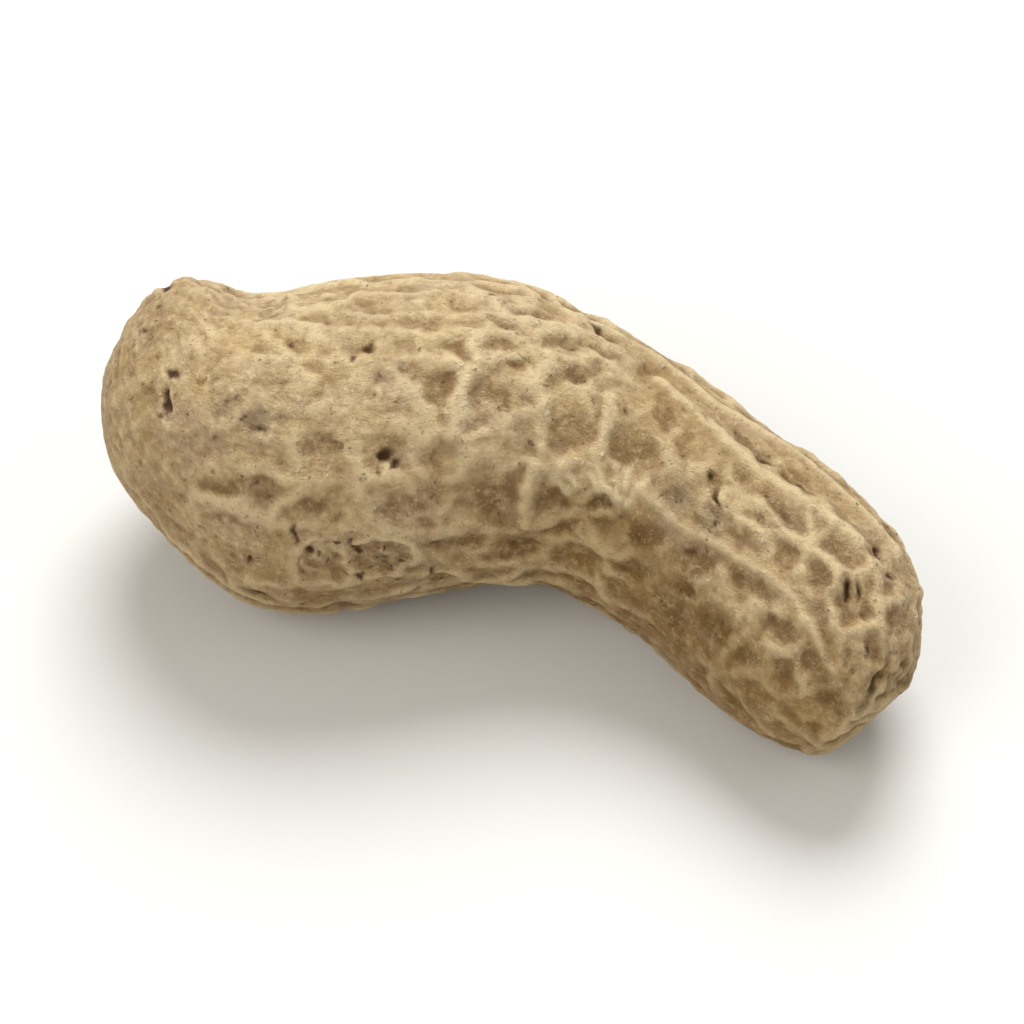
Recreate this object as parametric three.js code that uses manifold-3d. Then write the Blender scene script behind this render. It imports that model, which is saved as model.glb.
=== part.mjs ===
// A peanut in its shell: one dry pod, grown as one piece, lying on its side.
// Millimetres, +Z up. The pod rests on the plane z = 0 with a small flat spot
// under each of its two lobes. The large lobe, with the stalk scar, is at -X,
// and the small lobe, with the beak, is at +X. The origin is the middle of the
// bounding box, at the resting plane.

import * as THREE from 'three';
import { mergeVertices } from 'three/addons/utils/BufferGeometryUtils.js';
import Module from 'manifold-3d';

// ---------------------------------------------------------------- dimensions

// The pod is curved, and its curve lies in a plane that leans back from the
// floor by LEAN. In that plane u runs to the right and v runs up the slope;
// w is the height above the plane.
const LEAN = 52;                // degrees between the floor and the line v
const TURN = 19;                // degrees about +Z, so that the two flat spots lie along X
const FLAT_DEPTH = 0.27;        // how much of each lobe's underside is flattened
const RIB_COUNT = 18;           // lengthwise ribs round the shell
const RIB_HEIGHT = 0.15;        // half the height from valley to crest
const RIB_ANGLE = 232;          // degrees: one crest runs along the underside
const SCAR_RADIUS = 1.5;        // the stalk scar on the large lobe
const SCAR_DEPTH = 0.35;
const ROWS = 58;                // cross-sections from the stalk scar to the beak
const SIDES = 72;               // points round a cross-section

// The cross-sections, from the stalk scar to the beak. Each is an ellipse: one
// diameter joins a point on the pod's upper edge to one on its lower edge, and
// the other half-diameter is the half-depth.
//   upper u, upper v, lower u, lower v, half-depth, w of the middle
const SECTIONS = [
  [-18.48,  10.23, -18.48,  10.23, 0.00, 10.26],
  [-16.91,  10.46, -20.24,   8.29, 2.31, 10.11],
  [-15.33,  10.04, -21.46,   5.46, 4.20,  9.96],
  [-13.86,   9.53, -21.55,   2.73, 5.88,  9.81],
  [-12.39,   9.53, -20.92,   0.10, 7.25,  9.71],
  [-10.92,   9.91, -19.40,  -2.31, 8.15,  9.66],
  [ -9.34,  10.29, -17.11,  -4.72, 8.65,  9.66],
  [ -7.56,  10.54, -14.07,  -6.64, 8.82,  9.66],
  [ -5.46,  10.69, -10.29,  -6.99, 8.74,  9.66],
  [ -3.15,  10.71,  -6.40,  -6.47, 8.65,  9.44],
  [ -0.73,  10.52,  -3.15,  -5.80, 8.40,  9.17],
  [  1.89,   9.70,  -0.53,  -5.42, 7.90,  9.08],
  [  4.62,   8.38,   1.78,  -5.46, 7.27,  9.16],
  [  7.35,   6.95,   4.20,  -6.43, 6.80,  9.58],
  [ 10.08,   5.10,   6.72,  -7.98, 6.51, 10.29],
  [ 12.81,   3.11,   8.92,  -9.83, 6.43, 11.28],
  [ 15.33,   1.30,  10.92, -11.72, 6.47, 12.40],
  [ 17.75,  -0.46,  12.91, -13.23, 6.43, 13.46],
  [ 19.95,  -2.52,  14.87, -14.15, 6.09, 14.35],
  [ 21.42,  -4.72,  16.76, -14.36, 5.33, 14.98],
  [ 21.90,  -6.93,  18.52, -13.44, 3.99, 15.25],
  [ 21.69,  -9.24,  19.99, -12.26, 2.27, 15.30],
  [ 21.11, -11.03,  21.11, -11.03, 0.00, 15.15],
];

const SHELL_COLOUR = 0xb89a72;

// ------------------------------------------------------------------- surface

const rad = (degrees) => (degrees * Math.PI) / 180;
const clamp = (x, lo, hi) => Math.min(hi, Math.max(lo, x));

// A smooth curve through the table's rows (uniform Catmull-Rom), t = 0 .. rows - 1.
function sectionAt(t) {
  const last = SECTIONS.length - 1;
  const i = clamp(Math.floor(t), 0, last - 1);
  const f = t - i;
  const row = (j) => {
    if (j < 0) return SECTIONS[0].map((x, k) => 2 * x - SECTIONS[1][k]);
    if (j > last) return SECTIONS[last].map((x, k) => 2 * x - SECTIONS[last - 1][k]);
    return SECTIONS[j];
  };
  const [a, b, c, d] = [row(i - 1), row(i), row(i + 1), row(i + 2)];
  return b.map((_, k) => 0.5 * (2 * b[k] + (c[k] - a[k]) * f
    + (2 * a[k] - 5 * b[k] + 4 * c[k] - d[k]) * f * f
    + (3 * b[k] - a[k] - 3 * c[k] + d[k]) * f * f * f));
}

// From the leaning plane to the frame in which the pod lies on the floor.
function lying(u, v, w) {
  const s = Math.sin(rad(LEAN));
  const c = Math.cos(rad(LEAN));
  const x = u;
  const y = v * s - w * c;
  const z = v * c + w * s;
  const ct = Math.cos(rad(TURN));
  const st = Math.sin(rad(TURN));
  return new THREE.Vector3(x * ct - y * st, x * st + y * ct, z);
}

function pointAt(t, angle) {
  const [u1, v1, u2, v2, depth, w] = sectionAt(t);
  const c = Math.cos(angle);
  const s = Math.sin(angle);
  return lying(
    (u1 + u2) / 2 + ((u1 - u2) / 2) * c,
    (v1 + v2) / 2 + ((v1 - v2) / 2) * c,
    w + Math.max(depth, 0) * s,
  );
}

// Rows stand closer together towards the two ends.
function rowParameter(i) {
  const f = i / (ROWS - 1);
  const last = SECTIONS.length - 1;
  return last * (0.6 * f + 0.4 * (0.5 - 0.5 * Math.cos(Math.PI * f)));
}

function podGeometry() {
  const positions = [];
  const rowOf = [];
  const angleOf = [];
  const push = (p, t, angle) => {
    positions.push(p.x, p.y, p.z);
    rowOf.push(t);
    angleOf.push(angle);
  };
  const last = SECTIONS.length - 1;
  push(pointAt(0, 0), 0, 0);
  for (let i = 1; i < ROWS - 1; i += 1) {
    for (let j = 0; j < SIDES; j += 1) {
      const angle = (2 * Math.PI * j) / SIDES + rad(RIB_ANGLE);
      push(pointAt(rowParameter(i), angle), rowParameter(i), angle);
    }
  }
  push(pointAt(last, 0), last, 0);

  const index = [];
  const at = (i, j) => 1 + (i - 1) * SIDES + (j % SIDES);
  const end = 1 + (ROWS - 2) * SIDES;
  for (let j = 0; j < SIDES; j += 1) {
    index.push(0, at(1, j + 1), at(1, j));
    index.push(end, at(ROWS - 2, j), at(ROWS - 2, j + 1));
    for (let i = 1; i < ROWS - 2; i += 1) {
      index.push(at(i, j), at(i + 1, j + 1), at(i + 1, j));
      index.push(at(i, j), at(i, j + 1), at(i + 1, j + 1));
    }
  }
  const smooth = new THREE.BufferGeometry();
  smooth.setAttribute('position', new THREE.Float32BufferAttribute(positions, 3));
  smooth.setIndex(index);
  smooth.computeVertexNormals();

  // Ribs stand out along the surface's normal and fade out at both ends, and
  // the stalk scar is a shallow dish.
  const normal = smooth.getAttribute('normal');
  const position = smooth.getAttribute('position');
  const pole = new THREE.Vector3().fromBufferAttribute(position, 0);
  for (let k = 0; k < position.count; k += 1) {
    const p = new THREE.Vector3().fromBufferAttribute(position, k);
    const n = new THREE.Vector3().fromBufferAttribute(normal, k);
    const t = rowOf[k];
    const fade = clamp(t / 2.5, 0, 1) * clamp((last - t) / 2.5, 0, 1);
    const rib = RIB_HEIGHT * fade * Math.cos(RIB_COUNT * (angleOf[k] - rad(RIB_ANGLE)));
    const r = p.distanceTo(pole) / SCAR_RADIUS;
    const scar = r < 1 ? -SCAR_DEPTH * (1 - r * r) ** 2 : 0;
    p.addScaledVector(n, rib + scar);
    position.setXYZ(k, p.x, p.y, p.z);
  }
  return smooth;
}

// ------------------------------------------------------------------ flat spot

const wasm = await Module();
wasm.setup();

function toSolid(geometry) {
  const bare = geometry.clone();
  bare.deleteAttribute('normal');
  bare.deleteAttribute('uv');
  const merged = mergeVertices(bare, 1e-5);
  return new wasm.Manifold(new wasm.Mesh({
    numProp: 3,
    vertProperties: new Float32Array(merged.getAttribute('position').array),
    triVerts: new Uint32Array(merged.getIndex().array),
  }));
}

function toGeometry(solid) {
  const mesh = solid.getMesh();
  const geometry = new THREE.BufferGeometry();
  geometry.setAttribute('position', new THREE.Float32BufferAttribute(mesh.vertProperties, 3));
  geometry.setIndex(Array.from(mesh.triVerts));
  geometry.computeVertexNormals();
  return geometry;
}

const pod = podGeometry();
pod.translate(0, 0, -FLAT_DEPTH);
const below = new THREE.BoxGeometry(90, 70, 10);
below.translate(0, 0, -5);
const shell = toGeometry(toSolid(pod).subtract(toSolid(below)));

// The origin goes to the middle of the footprint, on the resting plane.
shell.computeBoundingBox();
const middle = shell.boundingBox.getCenter(new THREE.Vector3());
shell.translate(-middle.x, -middle.y, 0);

const group = new THREE.Group();
const shellMesh = new THREE.Mesh(
  shell,
  new THREE.MeshStandardMaterial({ color: SHELL_COLOUR, roughness: 0.85, metalness: 0 }),
);
shellMesh.name = 'peanut_pod';
group.add(shellMesh);

export default group;
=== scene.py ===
# A peanut in its shell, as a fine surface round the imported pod.
# Lengths in the tables are millimetres; the Blender objects are in metres.

import math

import bpy
import numpy as np
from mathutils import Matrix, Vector, noise


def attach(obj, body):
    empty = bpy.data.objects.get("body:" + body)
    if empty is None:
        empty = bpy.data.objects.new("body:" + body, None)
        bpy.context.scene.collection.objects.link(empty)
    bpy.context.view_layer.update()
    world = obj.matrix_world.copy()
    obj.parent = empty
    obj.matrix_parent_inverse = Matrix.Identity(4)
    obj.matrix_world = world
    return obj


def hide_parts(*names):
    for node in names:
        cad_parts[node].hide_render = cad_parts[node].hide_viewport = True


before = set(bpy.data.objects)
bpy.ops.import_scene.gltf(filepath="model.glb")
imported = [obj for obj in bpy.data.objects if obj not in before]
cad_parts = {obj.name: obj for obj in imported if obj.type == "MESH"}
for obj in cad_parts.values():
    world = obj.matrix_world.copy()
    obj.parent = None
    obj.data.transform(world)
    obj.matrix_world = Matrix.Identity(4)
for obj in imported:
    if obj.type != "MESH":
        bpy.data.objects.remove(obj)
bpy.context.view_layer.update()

MM = 0.001
RNG = np.random.default_rng(20317)

# ------------------------------------------------------------------ the pod's form
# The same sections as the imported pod: upper edge u, v, lower edge u, v, half-depth,
# w of the middle, in a plane that leans back from the floor.

LEAN = math.radians(52)
TURN = math.radians(19)
FLAT_DEPTH = 0.27
MIDDLE = (3.13616, -6.33400)
SECTIONS = np.array([
    (-18.48, 10.23, -18.48, 10.23, 0.00, 10.26),
    (-16.91, 10.46, -20.24, 8.29, 2.31, 10.11),
    (-15.33, 10.04, -21.46, 5.46, 4.20, 9.96),
    (-13.86, 9.53, -21.55, 2.73, 5.88, 9.81),
    (-12.39, 9.53, -20.92, 0.10, 7.25, 9.71),
    (-10.92, 9.91, -19.40, -2.31, 8.15, 9.66),
    (-9.34, 10.29, -17.11, -4.72, 8.65, 9.66),
    (-7.56, 10.54, -14.07, -6.64, 8.82, 9.66),
    (-5.46, 10.69, -10.29, -6.99, 8.74, 9.66),
    (-3.15, 10.71, -6.40, -6.47, 8.65, 9.44),
    (-0.73, 10.52, -3.15, -5.80, 8.40, 9.17),
    (1.89, 9.70, -0.53, -5.42, 7.90, 9.08),
    (4.62, 8.38, 1.78, -5.46, 7.27, 9.16),
    (7.35, 6.95, 4.20, -6.43, 6.80, 9.58),
    (10.08, 5.10, 6.72, -7.98, 6.51, 10.29),
    (12.81, 3.11, 8.92, -9.83, 6.43, 11.28),
    (15.33, 1.30, 10.92, -11.72, 6.47, 12.40),
    (17.75, -0.46, 12.91, -13.23, 6.43, 13.46),
    (19.95, -2.52, 14.87, -14.15, 6.09, 14.35),
    (21.42, -4.72, 16.76, -14.36, 5.33, 14.98),
    (21.90, -6.93, 18.52, -13.44, 3.99, 15.25),
    (21.69, -9.24, 19.99, -12.26, 2.27, 15.30),
    (21.11, -11.03, 21.11, -11.03, 0.00, 15.15),
])
LAST = len(SECTIONS) - 1
TAU = 2 * math.pi


def section_at(t):
    """The table's row at t = 0 .. LAST, on a smooth curve through the rows (uniform Catmull-Rom)."""
    t = np.clip(np.asarray(t, float), 0, LAST)
    i = np.minimum(t.astype(int), LAST - 1)
    f = (t - i)[..., None]
    padded = np.concatenate([[2 * SECTIONS[0] - SECTIONS[1]], SECTIONS, [2 * SECTIONS[-1] - SECTIONS[-2]]])
    a, b, c, d = padded[i], padded[i + 1], padded[i + 2], padded[i + 3]
    return 0.5 * (2 * b + (c - a) * f + (2 * a - 5 * b + 4 * c - d) * f**2 + (3 * b - a - 3 * c + d) * f**3)


def base_point(t, angle):
    """The smooth pod's point (u, v, w) at section t and angle round it."""
    t, angle = np.broadcast_arrays(np.asarray(t, float), np.asarray(angle, float))
    s = section_at(t)
    c, sn = np.cos(angle), np.sin(angle)
    return np.stack([
        (s[..., 0] + s[..., 2]) / 2 + (s[..., 0] - s[..., 2]) / 2 * c,
        (s[..., 1] + s[..., 3]) / 2 + (s[..., 1] - s[..., 3]) / 2 * c,
        s[..., 5] + np.maximum(s[..., 4], 0) * sn,
    ], -1)


def lay(p, direction=False):
    """From the leaning plane (u, v, w) to the row frame, in millimetres."""
    sl, cl, st, ct = math.sin(LEAN), math.cos(LEAN), math.sin(TURN), math.cos(TURN)
    x, y, z = p[..., 0], p[..., 1] * sl - p[..., 2] * cl, p[..., 1] * cl + p[..., 2] * sl
    out = np.stack([x * ct - y * st, x * st + y * ct, z], -1)
    return out if direction else out - np.array([MIDDLE[0], MIDDLE[1], FLAT_DEPTH])


# Arc length along each line from the stalk scar, and the radius round it, as tables in t and angle.
T_STEPS, A_STEPS = 1761, 145
T_TAB = np.linspace(0, LAST, T_STEPS)
A_TAB = np.linspace(0, TAU, A_STEPS)
grid = base_point(T_TAB[:, None], A_TAB[None, :])
step = np.linalg.norm(np.diff(grid, axis=0), axis=2)
S_TAB = np.concatenate([np.zeros((1, A_STEPS)), np.cumsum(step, axis=0)])
R_TAB = np.linalg.norm(np.roll(grid[:, :-1], -1, 1) - np.roll(grid[:, :-1], 1, 1), axis=2) / (2 * TAU / (A_STEPS - 1))
R_TAB = np.concatenate([R_TAB, R_TAB[:, :1]], 1)


def sample(table, t, angle):
    """Bilinear reading of a table in t and angle."""
    ft = np.clip(t / LAST * (T_STEPS - 1), 0, T_STEPS - 1.001)
    fa = np.mod(angle, TAU) / TAU * (A_STEPS - 1)
    fa = np.clip(fa, 0, A_STEPS - 1.001)
    i, j = ft.astype(int), fa.astype(int)
    ft, fa = ft - i, fa - j
    return (table[i, j] * (1 - ft) * (1 - fa) + table[i + 1, j] * ft * (1 - fa)
            + table[i, j + 1] * (1 - ft) * fa + table[i + 1, j + 1] * ft * fa)


# ------------------------------------------------------------------ the mesh
# A tube of quads with a square-grid cap on each end, so the quads stay even and
# nothing is pinched at the stalk scar or the beak.

CAP = 80                 # quads across a cap
RINGS = 268              # quads along the tube
CAP_A, CAP_B = 6.5, 6.0  # how far the caps reach from the ends, along the surface

longest = np.concatenate([[0], np.cumsum(0.35 * step.mean(1) + 0.65 * step.max(1))])
total = longest[-1]


def t_at(length):
    return np.interp(length, longest, T_TAB)


def cap_grid():
    """Radius 0 .. 1 and angle of each point of a square grid laid on a disc."""
    k = np.linspace(-1, 1, CAP + 1)
    a, b = np.meshgrid(k, k, indexing="ij")
    wide = np.abs(a) > np.abs(b)
    r = np.where(wide, a, b)
    safe_a = np.where(a == 0, 1, a)
    safe_b = np.where(b == 0, 1, b)
    phi = np.where(wide, math.pi / 4 * b / safe_a, math.pi / 2 - math.pi / 4 * a / safe_b)
    phi = np.where(r < 0, phi + math.pi, phi)
    return np.abs(r), np.mod(phi, TAU)


COLS = 4 * CAP
ring_len = np.linspace(CAP_A, total - CAP_B, RINGS + 1)
ring_t = t_at(ring_len)
ring_angle = TAU * np.arange(COLS) / COLS
vt = [np.repeat(ring_t, COLS)]
va = [np.tile(ring_angle, RINGS + 1)]
tube_count = (RINGS + 1) * COLS
quads = []
i, j = np.meshgrid(np.arange(RINGS), np.arange(COLS), indexing="ij")
jn = (j + 1) % COLS
quads.append(np.stack([i * COLS + j, i * COLS + jn, (i + 1) * COLS + jn, (i + 1) * COLS + j], -1).reshape(-1, 4))
cap_r, cap_phi = cap_grid()
count = tube_count
for end in (0, 1):
    ids = np.zeros((CAP + 1, CAP + 1), int)
    border = np.zeros((CAP + 1, CAP + 1), bool)
    border[0], border[-1], border[:, 0], border[:, -1] = True, True, True, True
    col = np.round(cap_phi / TAU * COLS).astype(int) % COLS
    ids[border] = (0 if end == 0 else RINGS * COLS) + col[border]
    inner = ~border
    n_inner = int(inner.sum())
    ids[inner] = count + np.arange(n_inner)
    count += n_inner
    length = cap_r[inner] * CAP_A if end == 0 else total - cap_r[inner] * CAP_B
    vt.append(t_at(length))
    va.append(cap_phi[inner])
    q = np.stack([ids[:-1, :-1], ids[1:, :-1], ids[1:, 1:], ids[:-1, 1:]], -1).reshape(-1, 4)
    quads.append(q if end == 0 else q[:, ::-1])
vt, va, quads = np.concatenate(vt), np.concatenate(va), np.concatenate(quads)
base = base_point(vt, va)


def vertex_normals(p):
    n = np.cross(p[quads[:, 2]] - p[quads[:, 0]], p[quads[:, 3]] - p[quads[:, 1]])
    out = np.zeros_like(p)
    for k in range(4):
        for axis in range(3):
            out[:, axis] += np.bincount(quads[:, k], n[:, axis], len(p))
    return out / np.maximum(np.linalg.norm(out, axis=1), 1e-12)[:, None]


normal = vertex_normals(base)
centre = (section_at(vt)[:, :2] + section_at(vt)[:, 2:4]) / 2
outward = np.concatenate([base[:, :2] - centre, base[:, 2:3] - section_at(vt)[:, 5:6]], 1)
if (normal * outward).sum() < 0:
    quads = quads[:, ::-1]
    normal = -normal
# the caps must turn the same way as the tube
for lo, hi in ((0, RINGS * COLS), (RINGS * COLS, RINGS * COLS + CAP * CAP), (RINGS * COLS + CAP * CAP, len(quads))):
    q = quads[lo:hi]
    n = np.cross(base[q[:, 2]] - base[q[:, 0]], base[q[:, 3]] - base[q[:, 1]])
    mid_out = outward[q].mean(1)
    if (n * mid_out).sum() < 0:
        quads[lo:hi] = q[:, ::-1]
normal = vertex_normals(base)

arc = sample(S_TAB, vt, va)                       # from the stalk scar
arc_end = sample(np.tile(S_TAB[-1], (T_STEPS, 1)), vt, va) - arc   # to the beak
radius = sample(R_TAB, vt, va)


def smooth(x, lo, hi):
    k = np.clip((x - lo) / (hi - lo), 0, 1)
    return k * k * (3 - 2 * k)


def field(p, scale, seed, depth=1):
    """Smooth noise about -1 .. 1 at the points p (mm), one bump every `scale` mm."""
    offset = Vector((seed * 17.13, seed * -9.71, seed * 5.37))
    out = np.empty(len(p))
    for k, (x, y, z) in enumerate((p / scale).tolist()):
        q = Vector((x, y, z)) + offset
        out[k] = noise.noise(q) if depth == 1 else noise.fractal(q, 0.6, 2.1, depth)
    return out


# ------------------------------------------------------------------ hollows, ridges and flecks

# The shown side, traced. Hollows: u, v, half-length, half-width, turn in degrees, strength.
HOLLOWS = (
    (-2.52, 9.13, 0.73, 0.17, 0, 0.40), (1.47, 8.50, 0.84, 0.19, -8, 0.60), (-0.42, 7.88, 0.94, 0.17, -3, 0.50),
    (-9.45, 7.98, 0.73, 0.17, 5, 0.35), (-3.99, 8.08, 0.63, 0.15, -15, 0.35), (-6.93, 8.82, 0.63, 0.13, 0, 0.30),
    (-12.81, 9.03, 0.53, 0.13, -5, 0.35), (-0.42, 6.93, 0.73, 0.15, -5, 0.45), (0.53, 6.09, 0.59, 0.21, -8, 0.80),
    (-2.52, 6.61, 0.63, 0.25, 10, 0.60), (-7.56, 6.72, 0.67, 0.32, 20, 0.85), (-11.34, 6.93, 0.46, 0.17, 0, 0.45),
    (-13.65, 6.51, 0.63, 0.21, -15, 0.40), (3.15, 6.83, 0.53, 0.17, -15, 0.50), (5.04, 6.30, 0.53, 0.19, -25, 0.50),
    (-9.45, 4.83, 0.73, 0.48, 15, 0.45), (-3.99, 4.62, 0.88, 0.76, -25, 0.85), (-0.73, 3.99, 1.18, 0.67, -12, 0.80),
    (3.57, 5.25, 1.09, 0.44, 5, 0.85), (7.35, 5.67, 0.59, 0.36, -40, 0.65), (-15.75, 5.46, 0.94, 0.34, -20, 0.45),
    (-7.14, 4.20, 0.32, 0.32, 0, 0.50), (-12.18, 4.62, 0.53, 0.38, 0, 0.35), (3.15, 2.31, 1.05, 0.88, -10, 0.60),
    (6.51, 1.26, 1.09, 0.84, -45, 0.80), (8.19, 3.15, 0.88, 0.59, -45, 0.60), (-13.02, 2.83, 0.84, 0.55, -10, 0.60),
    (-14.70, 3.57, 0.73, 0.38, 20, 0.50), (-18.48, 3.99, 0.50, 0.92, 0, 0.25), (-5.88, 3.57, 0.67, 0.46, 0, 0.25),
    (-9.66, 1.57, 0.88, 0.69, -10, 0.85), (-6.30, 1.16, 0.88, 0.78, -20, 0.75), (-3.99, 0.84, 0.55, 0.38, -10, 0.25),
    (-18.69, 2.10, 0.50, 0.59, 0, 0.25), (-15.96, 1.68, 0.71, 0.59, 0, 0.25), (-12.81, 1.05, 0.84, 0.50, 0, 0.20),
    (-14.07, -0.42, 1.76, 0.42, -3, 0.80), (-10.08, -1.57, 0.92, 0.53, -5, 0.65),
    (-5.77, -1.57, 1.32, 0.50, 15, 0.70), (-1.05, -0.84, 1.34, 0.71, 10, 0.85), (2.52, -1.05, 0.92, 0.59, -10, 0.65),
    (4.83, -1.36, 1.09, 0.44, -5, 0.80), (-18.06, -1.26, 0.76, 0.46, -25, 0.25), (-14.07, -4.41, 1.05, 0.97, 0, 0.40),
    (-14.70, -2.31, 0.92, 0.46, -30, 0.30), (-6.93, -4.20, 1.68, 0.67, -5, 0.60),
    (-3.15, -3.53, 1.57, 0.36, -3, 0.60), (0.53, -3.74, 1.34, 0.32, 3, 0.55), (7.14, -3.15, 1.18, 0.48, -12, 0.75),
    (5.04, -2.31, 1.05, 0.42, -3, 0.45), (6.51, -4.83, 0.80, 0.46, 0, 0.40), (9.87, -4.20, 1.01, 0.84, -15, 0.95),
    (9.13, -5.67, 0.55, 0.63, 0, 0.60), (3.15, -2.52, 0.71, 0.34, 0, 0.30), (12.60, -5.77, 1.47, 0.40, -38, 0.85),
    (10.92, -7.98, 0.97, 0.55, -30, 0.65), (13.96, -7.77, 0.92, 0.67, -50, 0.90),
    (15.96, -9.76, 1.05, 0.92, -55, 0.90), (16.59, -11.55, 0.92, 0.71, -45, 0.70),
    (8.82, -7.14, 0.59, 0.55, -20, 0.50), (12.18, -9.03, 0.76, 0.38, -25, 0.50),
    (14.28, -10.08, 0.71, 0.38, -35, 0.50), (10.61, -0.21, 0.55, 0.55, -60, 0.70),
    (10.92, -1.68, 0.46, 0.55, 0, 0.50), (8.82, -1.05, 0.55, 0.71, -30, 0.45), (14.49, -1.99, 1.13, 0.46, -42, 0.80),
    (12.18, 0.00, 0.80, 0.44, -42, 0.55), (14.49, -4.09, 1.01, 0.46, -38, 0.60),
    (17.43, -3.78, 0.97, 0.71, -52, 0.85), (16.17, -5.46, 0.84, 0.61, -55, 0.70),
    (17.85, -6.51, 1.13, 0.82, -75, 0.95), (20.16, -5.46, 0.57, 0.55, -60, 0.55),
    (20.27, -7.35, 0.92, 0.65, -80, 0.60), (18.79, -9.13, 0.71, 0.36, -90, 0.50),
    (19.21, -3.57, 0.63, 0.34, -55, 0.50), (12.71, 1.36, 1.22, 0.23, -36, 0.75),
    (15.22, -0.10, 1.05, 0.23, -36, 0.50), (16.17, -2.42, 0.71, 0.34, -48, 0.60),
    (13.23, -2.31, 0.55, 0.50, -30, 0.25), (12.18, -3.36, 0.67, 0.50, -30, 0.25),
    (9.87, -2.73, 0.63, 0.55, -30, 0.30), (17.43, -9.45, 0.55, 0.71, -70, 0.30), (9.24, 1.26, 0.59, 0.63, -50, 0.35),
    (13.02, -1.05, 0.55, 0.38, -45, 0.30), (17.22, -1.89, 0.55, 0.23, -48, 0.40),
)
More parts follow.
